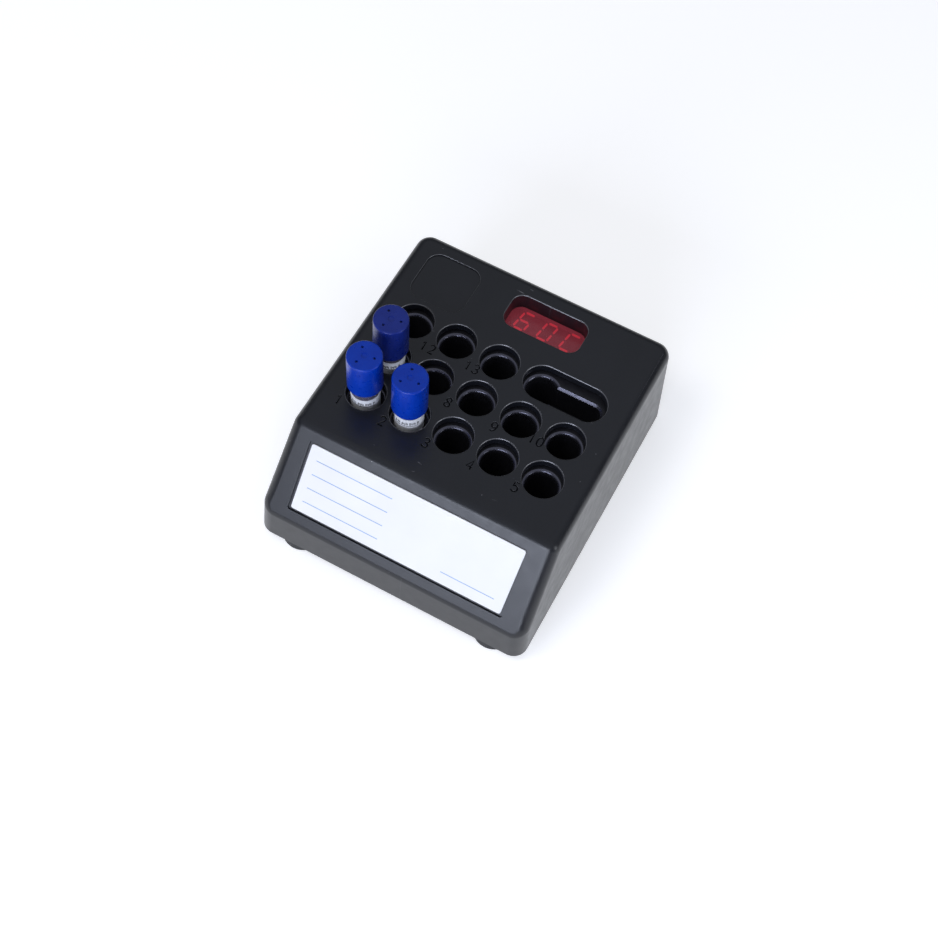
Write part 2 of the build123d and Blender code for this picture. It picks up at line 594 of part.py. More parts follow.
# Temperature probe and thermal cut-out, in two blind holes in the block's rear face
for probe_name, probe_x in (("temperature_probe", PROBE_X), ("thermal_cutout", CUTOUT_X)):
    with BuildPart() as probe:
        with BuildSketch(Plane.XZ.offset(-(BLOCK_REAR_Y - PROBE_DEPTH + PROBE_PLAY))):
            with Locations((probe_x, PROBE_Z)):
                Circle(PROBE_DIAMETER / 2)
        extrude(amount=-(PROBE_DEPTH + PROBE_TAIL))
        chamfer(probe.faces().sort_by(Axis.Y)[0].edges(), PROBE_PLAY)
    probe.part.label = probe_name
    export_step(probe.part, f"parts/{probe_name}.step")

# Control board
with BuildPart() as control_board:
    with BuildSketch(Plane.XY.offset(BOARD_Z)):
        with Locations((0, BOARD_Y)):
            RectangleRounded(BOARD_WIDTH, BOARD_LENGTH, BOARD_CORNER)
            with GridLocations(
                BOARD_WIDTH - 2 * BOARD_SCREW_INSET, BOARD_LENGTH - 2 * BOARD_SCREW_INSET, 2, 2
            ):
                Circle((SMALL_SCREW_DIAMETER + SCREW_CLEARANCE) / 2, mode=Mode.SUBTRACT)
    extrude(amount=BOARD_THICKNESS)

control_board.part.label = "control_board"
export_step(control_board.part, "parts/control_board.step")

with BuildPart() as board_screws:
    for place in GridLocations(
        BOARD_WIDTH - 2 * BOARD_SCREW_INSET, BOARD_LENGTH - 2 * BOARD_SCREW_INSET, 2, 2
    ):
        under_head = Plane((place.position.X, BOARD_Y + place.position.Y, BOARD_TOP_Z))
        add(screw(
            under_head,
            SMALL_HEAD_DIAMETER,
            SMALL_HEAD_HEIGHT,
            SMALL_SCREW_DIAMETER,
            BOARD_SCREW_LENGTH,
        ))

board_screws.part.label = "board_screws"
export_step(board_screws.part, "parts/board_screws.step")

# Low voltage inlet, standing on the board and reaching through the rear wall
jack_face_y = rear_wall_y(BOARD_TOP_Z + JACK_HEIGHT) - JACK_SETBACK
jack_centre_z = BOARD_TOP_Z + JACK_HEIGHT / 2
with BuildPart() as power_inlet:
    with BuildSketch(Plane.XZ.offset(-jack_face_y)):
        with Locations((JACK_X, jack_centre_z)):
            Rectangle(JACK_WIDTH, JACK_HEIGHT)
    extrude(amount=JACK_LENGTH)
    chamfer(power_inlet.edges().filter_by(Axis.Y), JACK_PLAY)
    with BuildSketch(Plane.XZ.offset(-jack_face_y)):
        with Locations((JACK_X, jack_centre_z)):
            Circle(JACK_BORE / 2)
            Circle(JACK_PIN_DIAMETER / 2, mode=Mode.SUBTRACT)
    extrude(amount=JACK_BORE_DEPTH, mode=Mode.SUBTRACT)

power_inlet.part.label = "power_inlet"
export_step(power_inlet.part, "parts/power_inlet.step")

# Parts soldered to the control board
with BuildPart() as microcontroller:
    with BuildSketch(Plane.XY.offset(BOARD_TOP_Z)):
        with Locations((CHIP_X, BOARD_Y - CHIP_SIZE / 3)):
            Rectangle(CHIP_SIZE, CHIP_SIZE)
    extrude(amount=CHIP_HEIGHT)
    chamfer(microcontroller.faces().sort_by(Axis.Z)[-1].edges(), CHIP_HEIGHT / 5)

microcontroller.part.label = "microcontroller"
export_step(microcontroller.part, "parts/microcontroller.step")

capacitor_y = BOARD_Y + (BOARD_LENGTH - CAPACITOR_DIAMETER) / 2 - BOARD_CORNER
with BuildPart() as filter_capacitor:
    with BuildSketch(Plane.XY.offset(BOARD_TOP_Z)):
        with Locations((CAPACITOR_X, capacitor_y)):
            Circle(CAPACITOR_DIAMETER / 2)
    extrude(amount=CAPACITOR_HEIGHT)
    with BuildSketch(Plane.XY.offset(BOARD_TOP_Z + CAPACITOR_HEIGHT / 8)):
        with Locations((CAPACITOR_X, capacitor_y)):
            Circle(CAPACITOR_DIAMETER / 2)
            Circle(CAPACITOR_DIAMETER / 2 - CAPACITOR_GROOVE, mode=Mode.SUBTRACT)
    extrude(amount=CAPACITOR_GROOVE, mode=Mode.SUBTRACT)
    fillet(filter_capacitor.faces().sort_by(Axis.Z)[-1].edges(), CAPACITOR_GROOVE)

filter_capacitor.part.label = "filter_capacitor"
export_step(filter_capacitor.part, "parts/filter_capacitor.step")

transistor_y = BOARD_Y + TRANSISTOR_LENGTH / 2
with BuildPart() as power_transistor:
    with BuildSketch(Plane.XY.offset(BOARD_TOP_Z)):
        with Locations((TRANSISTOR_X, transistor_y)):
            Rectangle(TRANSISTOR_WIDTH, TRANSISTOR_LENGTH)
    extrude(amount=TRANSISTOR_HEIGHT)
    with BuildSketch(Plane.XY.offset(BOARD_TOP_Z)):
        with Locations((TRANSISTOR_X, transistor_y + (TRANSISTOR_LENGTH + TAB_LENGTH) / 2)):
            Rectangle(TAB_WIDTH, TAB_LENGTH)
    extrude(amount=TAB_THICKNESS)

power_transistor.part.label = "power_transistor"
export_step(power_transistor.part, "parts/power_transistor.step")

with BuildPart() as heater_terminal:
    with BuildSketch(Plane.XY.offset(BOARD_TOP_Z)):
        with Locations((TERMINAL_X, BOARD_FRONT_Y + TERMINAL_LENGTH / 2)):
            Rectangle(TERMINAL_WIDTH, TERMINAL_LENGTH)
    extrude(amount=TERMINAL_HEIGHT)
    shoulders = heater_terminal.faces().sort_by(Axis.Z)[-1].edges().filter_by(Axis.X)
    chamfer(shoulders, TERMINAL_SCREW_DEPTH)
    with BuildSketch(Plane.XY.offset(BOARD_TOP_Z + TERMINAL_HEIGHT)):
        with Locations((TERMINAL_X, BOARD_FRONT_Y + TERMINAL_LENGTH / 2)):
            with GridLocations(TERMINAL_WIDTH / 2, 0, 2, 1):
                Circle(TERMINAL_SCREW_DIAMETER / 2)
    extrude(amount=-TERMINAL_SCREW_DEPTH, mode=Mode.SUBTRACT)

heater_terminal.part.label = "heater_terminal"
export_step(heater_terminal.part, "parts/heater_terminal.step")

# The mat's foil tail: out through the tray, up beside it and into the terminal
mat_rear_y = BLOCK_Y + BLOCK_LENGTH / 2 - MAT_MARGIN
rise_y = (JACKET_REAR_Y + BOARD_FRONT_Y) / 2
tail_top_z = TAIL_Z + TAIL_RISE
with BuildPart() as heater_tail:
    with BuildLine(Plane.YZ.offset(TERMINAL_X)) as tail_route:
        FilletPolyline(
            (mat_rear_y, TAIL_Z),
            (rise_y, TAIL_Z),
            (rise_y, tail_top_z),
            (BOARD_FRONT_Y, tail_top_z),
            radius=TAIL_BEND,
        )
    with BuildSketch(Plane.XZ.offset(-mat_rear_y)):
        with Locations((TERMINAL_X, TAIL_Z)):
            Rectangle(TAIL_WIDTH, TAIL_THICKNESS)
    sweep(path=tail_route.wire())

heater_tail.part.label = "heater_tail"
export_step(heater_tail.part, "parts/heater_tail.step")

# Each probe's lead bends down into its own connector on the board
lead_start_y = BLOCK_REAR_Y + PROBE_PLAY + PROBE_TAIL
connector_top_z = BOARD_TOP_Z + CONNECTOR_HEIGHT
for lead_name, connector_name, lead_x in (
    ("probe_lead", "probe_connector", PROBE_X),
    ("cutout_lead", "cutout_connector", CUTOUT_X),
):
    with BuildPart() as lead:
        with BuildLine(Plane.YZ.offset(lead_x)) as lead_route:
            FilletPolyline(
                (lead_start_y, PROBE_Z),
                (CONNECTOR_Y, PROBE_Z),
                (CONNECTOR_Y, connector_top_z),
                radius=LEAD_BEND,
            )
        with BuildSketch(Plane.XZ.offset(-lead_start_y)):
            with Locations((lead_x, PROBE_Z)):
                Circle(LEAD_DIAMETER / 2)
        sweep(path=lead_route.wire())
    lead.part.label = lead_name
    export_step(lead.part, f"parts/{lead_name}.step")

    with BuildPart() as connector:
        with BuildSketch(Plane.XY.offset(BOARD_TOP_Z)):
            with Locations((lead_x, CONNECTOR_Y)):
                Rectangle(CONNECTOR_WIDTH, CONNECTOR_LENGTH)
        extrude(amount=CONNECTOR_HEIGHT)
        chamfer(connector.edges().filter_by(Axis.Z), LEAD_DIAMETER / 2)
    connector.part.label = connector_name
    export_step(connector.part, f"parts/{connector_name}.step")

# Display: filter on the collar, digit module, its board, screws and pin header
with BuildPart() as display_filter:
    with BuildSketch(Plane.XY.offset(FILTER_Z)):
        with Locations((WINDOW_X, WINDOW_Y)):
            RectangleRounded(
                WINDOW_WIDTH + 2 * FILTER_OVERLAP,
                WINDOW_LENGTH + 2 * FILTER_OVERLAP,
                WINDOW_CORNER + FILTER_OVERLAP,
            )
    extrude(amount=FILTER_THICKNESS)

display_filter.part.label = "display_filter"
export_step(display_filter.part, "parts/display_filter.step")

with BuildPart() as display_module:
    with BuildSketch(Plane.XY.offset(MODULE_Z)):
        with Locations((WINDOW_X, WINDOW_Y)):
            Rectangle(MODULE_WIDTH, MODULE_LENGTH)
    extrude(amount=MODULE_HEIGHT)
    chamfer(display_module.faces().sort_by(Axis.Z)[-1].edges(), MODULE_EDGE)

display_module.part.label = "display_module"
export_step(display_module.part, "parts/display_module.step")

with BuildPart() as display_board:
    with BuildSketch(Plane.XY.offset(DISPLAY_BOARD_Z)):
        with Locations((WINDOW_X, WINDOW_Y)):
            RectangleRounded(DISPLAY_BOARD_WIDTH, DISPLAY_BOARD_LENGTH, BOARD_CORNER)
            with GridLocations(DISPLAY_SCREW_SPREAD, 0, 2, 1):
                Circle((SMALL_SCREW_DIAMETER + SCREW_CLEARANCE) / 2, mode=Mode.SUBTRACT)
    extrude(amount=BOARD_THICKNESS)

display_board.part.label = "display_board"
export_step(display_board.part, "parts/display_board.step")

with BuildPart() as display_screws:
    for side in (-1, 1):
        screw_x = WINDOW_X + side * DISPLAY_SCREW_SPREAD / 2
        under_head = Plane((screw_x, WINDOW_Y, DISPLAY_BOARD_Z), z_dir=(0, 0, -1))
        add(screw(
            under_head,
            SMALL_HEAD_DIAMETER,
            SMALL_HEAD_HEIGHT,
            SMALL_SCREW_DIAMETER,
            DISPLAY_SCREW_LENGTH,
        ))

display_screws.part.label = "display_screws"
export_step(display_screws.part, "parts/display_screws.step")

with BuildPart() as display_header:
    with BuildSketch(Plane.XY.offset(BOARD_TOP_Z)):
        with Locations((WINDOW_X, DISPLAY_BOARD_REAR_Y - HEADER_LENGTH)):
            Rectangle(HEADER_WIDTH, HEADER_LENGTH)
    extrude(amount=DISPLAY_BOARD_Z - BOARD_TOP_Z)

display_header.part.label = "display_header"
export_step(display_header.part, "parts/display_header.step")

# Indicator vials. Each leans as far as its well lets it, about the middle of the well.
LABELLED_DIAMETER = TUBE_DIAMETER + 2 * LABEL_FILM
VIAL_LEAN = atan2(WELL_DIAMETER - LABELLED_DIAMETER - 2 * VIAL_SIDE_GAP, WELL_DEPTH)
CAP_BORE_RADIUS = LABELLED_DIAMETER / 2 + CAP_PLAY
CAP_SEAT = TUBE_LENGTH + CAP_SEAT_GAP + FILTER_PAPER


def vial_plane(column, row, vent_turn, lean_turn):
    """The vial's own frame: origin at the tube's closed end, z up the tube."""
    lean = radians(lean_turn)
    axis = Vector(sin(VIAL_LEAN) * cos(lean), sin(VIAL_LEAN) * sin(lean), cos(VIAL_LEAN))
    middle = Vector(COLUMN_X[column], ROW_Y[row], WELL_FLOOR_Z + WELL_DEPTH / 2)
    turn = radians(vent_turn)
    return Plane(
        origin=middle - axis * (WELL_DEPTH / 2 - VIAL_SEAT_GAP),
        x_dir=(cos(turn), sin(turn), 0),
        z_dir=axis,
    )


def half_section(frame):
    """The plane through the vial's axis in which its profiles are drawn."""
    return Plane(origin=frame.origin, x_dir=frame.x_dir, z_dir=-frame.y_dir)


def tube_part(frame):
    """Soft clear tube with a round closed end."""
    outer, inner = TUBE_DIAMETER / 2, TUBE_DIAMETER / 2 - TUBE_WALL
    inner_end = TUBE_END_RADIUS - TUBE_WALL
    with BuildPart() as tube:
        with BuildSketch(half_section(frame)):
            with BuildLine():
                Line((0, 0), (outer - TUBE_END_RADIUS, 0))
                CenterArc((outer - TUBE_END_RADIUS, TUBE_END_RADIUS), TUBE_END_RADIUS, 270, 90)
                Line((outer, TUBE_END_RADIUS), (outer, TUBE_LENGTH))
                Line((outer, TUBE_LENGTH), (inner, TUBE_LENGTH))
                Line((inner, TUBE_LENGTH), (inner, TUBE_END_RADIUS))
                CenterArc((inner - inner_end, TUBE_END_RADIUS), inner_end, 270, 90)
                Line((inner - inner_end, TUBE_WALL), (0, TUBE_WALL))
                Line((0, TUBE_WALL), (0, 0))
            make_face()
        revolve(axis=Axis(frame.origin, frame.z_dir))
    return tube.part


def cap_part(frame, lift):
    """Press-on cap: drafted skirt, vent holes and a small gate mark on top."""
    low = CAP_SEAT + CAP_CROWN - CAP_HEIGHT + lift
    top = low + CAP_HEIGHT
    radius = CAP_DIAMETER / 2
    with BuildPart() as cap:
        with BuildSketch(half_section(frame)):
            with BuildLine():
                Line((0, top - GATE_DEPTH), (GATE_DIAMETER / 2, top - GATE_DEPTH))
                Line((GATE_DIAMETER / 2, top - GATE_DEPTH), (GATE_DIAMETER / 2, top))
                Line((GATE_DIAMETER / 2, top), (radius - CAP_EDGE, top))
                CenterArc((radius - CAP_EDGE, top - CAP_EDGE), CAP_EDGE, 0, 90)
                Line((radius, top - CAP_EDGE), (radius + CAP_DRAFT, low))
                Line((radius + CAP_DRAFT, low), (CAP_BORE_RADIUS, low))
                Line((CAP_BORE_RADIUS, low), (CAP_BORE_RADIUS, top - CAP_CROWN))
                Line((CAP_BORE_RADIUS, top - CAP_CROWN), (0, top - CAP_CROWN))
                Line((0, top - CAP_CROWN), (0, top - GATE_DEPTH))
            make_face()
        revolve(axis=Axis(frame.origin, frame.z_dir))
        with BuildSketch(frame.offset(top)):
            with PolarLocations(VENT_RING_RADIUS, VENT_COUNT):
                Circle(VENT_DIAMETER / 2)
        extrude(amount=-CAP_CROWN, mode=Mode.SUBTRACT)
    return cap.part


def ring_part(frame, low, height, radius, bore):
    """A plain ring or disc round the vial's axis."""
    with BuildPart() as ring:
        with BuildSketch(frame.offset(low)):
            Circle(radius)
            if bore:
                Circle(bore, mode=Mode.SUBTRACT)
        extrude(amount=height)
    return ring.part


def ampoule_part(frame):
    """Sealed glass ampoule with a drawn neck."""
    low = TUBE_WALL + STRIP_THICKNESS
    body, neck = AMPOULE_DIAMETER / 2, AMPOULE_NECK / 2
    shoulder = low + AMPOULE_LENGTH
    with BuildPart() as ampoule:
        with BuildSketch(half_section(frame)):
            with BuildLine():
                Line((0, low), (body - neck, low))
                CenterArc((body - neck, low + neck), neck, 270, 90)
                Line((body, low + neck), (body, shoulder))
                Line((body, shoulder), (neck, shoulder + body))
                Line((neck, shoulder + body), (neck, shoulder + body + AMPOULE_NECK_LENGTH))
                CenterArc((0, shoulder + body + AMPOULE_NECK_LENGTH), neck, 0, 90)
                Line((0, shoulder + body + AMPOULE_NECK_LENGTH + neck), (0, low))
            make_face()
        revolve(axis=Axis(frame.origin, frame.z_dir))
    return ampoule.part


for vial, (column, row, vent_turn, lean_turn, lift, bare) in VIALS.items():
    frame = vial_plane(column, row, vent_turn, lean_turn)
    skirt = CAP_SEAT + CAP_CROWN - CAP_HEIGHT + lift
    label_height = skirt - bare - VIAL_LABEL_LOW
    pieces = {
        "tube": tube_part(frame),
        "cap": cap_part(frame, lift),
        "paper_label": ring_part(
            frame, VIAL_LABEL_LOW, label_height, LABELLED_DIAMETER / 2, TUBE_DIAMETER / 2
        ),
        "vent_paper": ring_part(
            frame, CAP_SEAT - FILTER_PAPER + lift, FILTER_PAPER, CAP_BORE_RADIUS - CAP_SEAT_GAP, 0
        ),
        "ampoule": ampoule_part(frame),
        "spore_strip": ring_part(frame, TUBE_WALL, STRIP_THICKNESS, STRIP_DIAMETER / 2, 0),
    }
    for piece_name, piece in pieces.items():
        piece.label = f"{vial}_{piece_name}"
        export_step(piece, f"parts/{vial}_{piece_name}.step")
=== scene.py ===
"""Looks of the dry block incubator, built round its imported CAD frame. Metres, Z up."""

import json
import math

import bmesh
import bpy
from mathutils import Matrix, Vector


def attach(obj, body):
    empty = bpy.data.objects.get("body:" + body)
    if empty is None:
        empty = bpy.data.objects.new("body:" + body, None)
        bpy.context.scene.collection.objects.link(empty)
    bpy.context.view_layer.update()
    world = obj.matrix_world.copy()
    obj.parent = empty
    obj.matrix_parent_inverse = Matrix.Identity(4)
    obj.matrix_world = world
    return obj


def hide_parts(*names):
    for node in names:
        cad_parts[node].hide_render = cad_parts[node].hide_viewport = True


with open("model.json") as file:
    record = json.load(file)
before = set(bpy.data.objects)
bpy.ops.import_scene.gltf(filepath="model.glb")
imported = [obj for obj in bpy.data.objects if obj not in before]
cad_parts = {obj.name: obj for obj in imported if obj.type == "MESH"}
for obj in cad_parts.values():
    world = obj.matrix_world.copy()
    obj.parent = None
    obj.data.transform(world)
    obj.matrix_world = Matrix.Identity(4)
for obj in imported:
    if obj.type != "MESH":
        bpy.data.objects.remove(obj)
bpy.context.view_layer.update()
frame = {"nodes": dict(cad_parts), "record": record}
NODES = frame["nodes"]

MM = 0.001
TOP = 48 * MM                    # flat top of the housing
PITCH = 17 * MM                  # well to well
FIRST_ROW = -14.35 * MM
COLUMNS = [(i - 2) * PITCH for i in range(5)]
ROWS = [FIRST_ROW + i * PITCH for i in range(3)]
WINDOW = Vector((6.7 * MM, 42.0 * MM, 0))
RIDGE = Vector((0, -35.4 * MM, TOP))
SLOPE = math.radians(51.41)      # the sloped face above the horizontal
UP_SLOPE = Vector((0, math.cos(SLOPE), math.sin(SLOPE)))
SLOPE_NORMAL = Vector((0, -math.sin(SLOPE), math.cos(SLOPE)))
BLOCK_TOP = 43.2 * MM
LEAD_IN = 1.5 * MM               # depth of the polished mouths of the wells
WELL_MIDDLE = 31.6 * MM
VIAL_LEAN = math.atan2(0.3, 23.2)
FILTER_TOP = 40.8 * MM
PAPER_RADIUS = 5.2 * MM          # outside of the paper label on a tube
WHITE = (0.84, 0.84, 0.845, 1)
FLOOR_HALF = 12.0
FLOOR_GLOW = 0.46                # what the floor adds where it is seen plainly


# camera and light

def set_camera():
    camera = bpy.data.objects.new("camera", bpy.data.cameras.new("camera"))
    bpy.context.collection.objects.link(camera)
    azimuth, elevation, roll = (math.radians(a) for a in (22.27, 61.13, 6.71))
    back = Vector((math.sin(azimuth) * math.cos(elevation),
                   -math.cos(azimuth) * math.cos(elevation), math.sin(elevation)))
    right = Vector((math.cos(azimuth), math.sin(azimuth), 0))
    up = back.cross(right)
    rolled_right = right * math.cos(roll) + up * math.sin(roll)
    rolled_up = up * math.cos(roll) - right * math.sin(roll)
    turn = Matrix((rolled_right, rolled_up, back)).transposed().to_4x4()
    target = Vector((10.74, -23.21, 48.0)) * MM
    distance = 515.29 * MM
    camera.matrix_world = Matrix.Translation(target + back * distance) @ turn
    camera.data.lens = 59.15
    camera.data.sensor_width = 36
    camera.data.clip_start = 0.01
    bpy.context.scene.camera = camera


def area_light(name, azimuth, elevation, distance, width, height, radiance, colour, gloss=True):
    """A soft box that faces the object from the given side, of even radiance."""
    lamp = bpy.data.lights.new(name, "AREA")
    lamp.shape = "RECTANGLE"
    lamp.size, lamp.size_y = width, height
    lamp.energy = radiance * width * height * math.pi
    lamp.color = colour
    light = bpy.data.objects.new(name, lamp)
    a, e = math.radians(azimuth), math.radians(elevation)
    back = Vector((math.sin(a) * math.cos(e), -math.cos(a) * math.cos(e), math.sin(e)))
    light.location = back * distance
    light.rotation_mode = "QUATERNION"
    light.rotation_quaternion = (-back).to_track_quat("-Z", "Y")
    light.visible_glossy = gloss
    bpy.context.collection.objects.link(light)


def seen_plainly(tree):
    """One for rays that come straight from the camera, a gloss or a clear piece."""
    path = tree.nodes.new("ShaderNodeLightPath")
    most = None
    for ray in ("Is Camera Ray", "Is Glossy Ray", "Is Transmission Ray"):
        if most is None:
            most = path.outputs[ray]
            continue
        larger = tree.nodes.new("ShaderNodeMath")
        larger.operation = "MAXIMUM"
        tree.links.new(most, larger.inputs[0])
        tree.links.new(path.outputs[ray], larger.inputs[1])
        most = larger.outputs[0]
    return most


def make_floor():
    mesh = bpy.data.meshes.new("floor")
    shape = bmesh.new()
    bmesh.ops.create_grid(shape, x_segments=8, y_segments=8, size=FLOOR_HALF)
    shape.to_mesh(mesh)
    shape.free()
    floor = bpy.data.objects.new("floor", mesh)
    bpy.context.collection.objects.link(floor)
    material = bpy.data.materials.new("floor_white")
    material.use_nodes = True
    tree = material.node_tree
    tree.nodes.clear()
    out = tree.nodes.new("ShaderNodeOutputMaterial")
    matt = tree.nodes.new("ShaderNodeBsdfDiffuse")
    matt.inputs["Color"].default_value = WHITE
    lift = tree.nodes.new("ShaderNodeEmission")
    level = tree.nodes.new("ShaderNodeMath")
    level.operation = "MULTIPLY"
    level.inputs[1].default_value = FLOOR_GLOW
    both = tree.nodes.new("ShaderNodeAddShader")
    tree.links.new(seen_plainly(tree), level.inputs[0])
    tree.links.new(level.outputs[0], lift.inputs["Strength"])
    tree.links.new(matt.outputs[0], both.inputs[0])
    tree.links.new(lift.outputs[0], both.inputs[1])
    tree.links.new(both.outputs[0], out.inputs["Surface"])
    mesh.materials.append(material)


def make_world():
    world = bpy.data.worlds.new("studio")
    bpy.context.scene.world = world
    world.use_nodes = True
    tree = world.node_tree
    tree.nodes.clear()
    out = tree.nodes.new("ShaderNodeOutputWorld")
    background = tree.nodes.new("ShaderNodeBackground")
    where = tree.nodes.new("ShaderNodeTexCoord")
    axes = tree.nodes.new("ShaderNodeSeparateXYZ")
    ramp = tree.nodes.new("ShaderNodeValToRGB")
    horizon, overhead = ramp.color_ramp.elements
    horizon.position = 0.0
    horizon.color = (0.05, 0.05, 0.06, 1)
    overhead.position = 0.80
    overhead.color = (0.44, 0.46, 0.51, 1)
    ramp.color_ramp.elements.new(0.45).color = (0.17, 0.18, 0.20, 1)
    tree.links.new(where.outputs["Generated"], axes.inputs[0])
    tree.links.new(axes.outputs["Z"], ramp.inputs[0])
    tree.links.new(ramp.outputs[0], background.inputs["Color"])
    tree.links.new(background.outputs[0], out.inputs["Surface"])


# materials

class Shader:
    """A Principled material with short helpers for its node tree."""

    def __init__(self, name, **fixed):
        self.material = bpy.data.materials.new(name)
        self.material.use_nodes = True
        self.tree = self.material.node_tree
        self.bsdf = self.tree.nodes["Principled BSDF"]
        self.place = self.node("ShaderNodeTexCoord").outputs["Object"]
        self.heights = []
        for socket, value in fixed.items():
            self.bsdf.inputs[socket.replace("_", " ")].default_value = value

    def node(self, kind, inputs=(), **settings):
        node = self.tree.nodes.new(kind)
        for key, value in settings.items():
            setattr(node, key, value)
        for socket, value in dict(inputs).items():
            self.feed(node.inputs[socket], value)
        return node

    def feed(self, socket, value):
        if isinstance(value, bpy.types.NodeSocket):
            self.tree.links.new(value, socket)
        else:
            socket.default_value = value

    def math(self, operation, *values):
        return self.node("ShaderNodeMath", enumerate(values), operation=operation).outputs[0]

    def noise(self, scale, detail=3.0, stretch=None, distortion=0.0):
        place = self.place
        if stretch:
            place = self.node("ShaderNodeVectorMath", {0: place, 1: stretch},
                              operation="MULTIPLY").outputs[0]
        return self.node("ShaderNodeTexNoise", {
            "Vector": place, "Scale": scale, "Detail": detail, "Distortion": distortion}).outputs[0]

    def spread(self, value, low, high, start=0.3, end=0.7):
        return self.node("ShaderNodeMapRange", {
            0: value, 1: start, 2: end, 3: low, 4: high}).outputs[0]

    def mix(self, factor, first, second):
        node = self.node("ShaderNodeMix", data_type="RGBA")
        self.feed(node.inputs[0], factor)
        for socket, value in ((node.inputs[6], first), (node.inputs[7], second)):
            self.feed(socket, value if isinstance(value, bpy.types.NodeSocket) else (*value, 1))
        return node.outputs[2]

    def specks(self, scale, size, share, seed=0.0):
        """Sparse dots: one in cells of the given scale, in the given share of the cells."""
        shift = (seed, seed * 0.7, seed * 1.3)
        place = self.node("ShaderNodeVectorMath", {0: self.place, 1: shift},
                          operation="ADD").outputs[0]
        cells = self.node("ShaderNodeTexVoronoi", {"Vector": place, "Scale": scale})
        near = self.math("LESS_THAN", cells.outputs["Distance"], size)
        chance = self.node("ShaderNodeSeparateColor", {0: cells.outputs["Color"]}).outputs[0]
        return self.math("MULTIPLY", near, self.math("LESS_THAN", chance, share))

    def colour(self, value):
        self.feed(self.bsdf.inputs["Base Color"], value)

    def rough(self, value):
        self.feed(self.bsdf.inputs["Roughness"], value)

    def bump(self, *heights):
        """Heights in metres, each a socket and the depth it stands for."""
        normal = None
        for height, depth in heights:
            settings = {"Height": height, "Distance": depth, "Strength": 1.0}
            if normal is not None:
                settings["Normal"] = normal
            normal = self.node("ShaderNodeBump", settings).outputs[0]
        self.tree.links.new(normal, self.bsdf.inputs["Normal"])

    def axes(self, socket=None):
        return self.node("ShaderNodeSeparateXYZ", {0: socket or self.place}).outputs

    def normal_axes(self):
        return self.axes(self.node("ShaderNodeNewGeometry").outputs["Normal"])


def tint(colour, factor):
    return tuple(min(1.0, c * factor) for c in colour)


def plain_surface(name, colour, rough, vary=0.12, cloud=160.0, grain=2600.0, depth=8e-6,
                  spread=0.06, **fixed):
    """Slight clouding in colour and gloss and a fine grain, for moulded and finished pieces."""
    s = Shader(name, **fixed)
    cloud_noise = s.noise(cloud)
    s.colour(s.mix(s.spread(cloud_noise, 0, 1), tint(colour, 1 - vary), tint(colour, 1 + vary)))
    s.rough(s.spread(s.noise(cloud * 2.3), rough - spread, rough + spread))
    s.bump((s.noise(grain, 2.0), depth))
    return s.material


SEAM_X = 5.0 * MM                # the faint mould line down the front wall
SEAM_WIDTH = 0.14 * MM
RIM_HIGHLIGHT_DEPTH = 0.4 * MM             # painted highlight: the round edges of the openings, lighter and partly metallic


def housing_material():
    s = Shader("moulded_black", Specular_IOR_Level=0.5)
    x, _, z = s.axes()
    _, ny, nz = s.normal_axes()
    cloud = s.spread(s.noise(70.0, 4.0), 0, 1)
    fine = s.spread(s.noise(1500.0, 2.0), 0, 1)
    base = s.mix(cloud, (0.0050, 0.0060, 0.0090), (0.0065, 0.0076, 0.0112))
    base = s.mix(s.math("MULTIPLY", fine, 0.35), base, (0.012, 0.012, 0.015))
    dust = s.math("MAXIMUM", s.specks(420.0, 0.055, 0.05), s.specks(260.0, 0.045, 0.035, 3.1))
    scuff = s.math("MULTIPLY",
                   s.spread(s.noise(900.0, 2.0, (0.35, 1.0, 1.0), 0.6), 0, 1, 0.70, 0.74),
                   s.spread(s.noise(85.0, 2.0), 0, 1, 0.63, 0.68))
    marks = s.math("MAXIMUM", s.math("MULTIPLY", dust, 0.55), s.math("MULTIPLY", scuff, 0.35))
    off_seam = s.math("ABSOLUTE", s.math("SUBTRACT", x, SEAM_X))
    seam = s.math("MULTIPLY", s.math("LESS_THAN", off_seam, SEAM_WIDTH / 2),
                  s.math("LESS_THAN", ny, -0.9))
    marks = s.math("MAXIMUM", marks, s.math("MULTIPLY", seam, 0.10))
    # Painted highlight: the round edges of the openings are coloured lighter and made partly
    # metallic so that they shine.
    tilted = s.math("MULTIPLY", s.math("LESS_THAN", nz, 0.90), s.math("GREATER_THAN", nz, 0.12))
    rim_highlight = s.math("MULTIPLY", s.math("GREATER_THAN", z, TOP - RIM_HIGHLIGHT_DEPTH), tilted)
    s.colour(s.mix(rim_highlight, s.mix(marks, base, (0.34, 0.34, 0.36)), (0.17, 0.17, 0.18)))
    s.feed(s.bsdf.inputs["Metallic"], s.math("MULTIPLY", rim_highlight, 0.6))
    s.rough(s.spread(s.noise(240.0, 3.0), 0.28, 0.35))
    s.bump((s.noise(2300.0, 2.0), 12e-6), (s.noise(5200.0, 1.0), 3e-6))
    return s.material


def block_material():
    s = Shader("black_anodised")
    z = s.axes()[2]
    nz = s.normal_axes()[2]
    mouth = s.math("GREATER_THAN", z, BLOCK_TOP - LEAD_IN)
    sloped = s.math("MULTIPLY", s.math("GREATER_THAN", nz, 0.06), s.math("LESS_THAN", nz, 0.985))
    polished = s.math("MULTIPLY", mouth, sloped)
    cloud = s.spread(s.noise(300.0), 0, 1)
    matt = s.mix(cloud, (0.010, 0.010, 0.013), (0.016, 0.016, 0.020))
    s.colour(s.mix(polished, matt, (0.11, 0.11, 0.14)))
    s.feed(s.bsdf.inputs["Metallic"], s.math("MULTIPLY", polished, 0.9))
    turned = s.noise(900.0, 2.0, (0.15, 0.15, 5.0))
    s.rough(s.math("SUBTRACT", s.spread(s.noise(500.0), 0.36, 0.42),
                   s.math("MULTIPLY", polished, 0.12)))
    s.bump((turned, 0.6e-6))
    return s.material


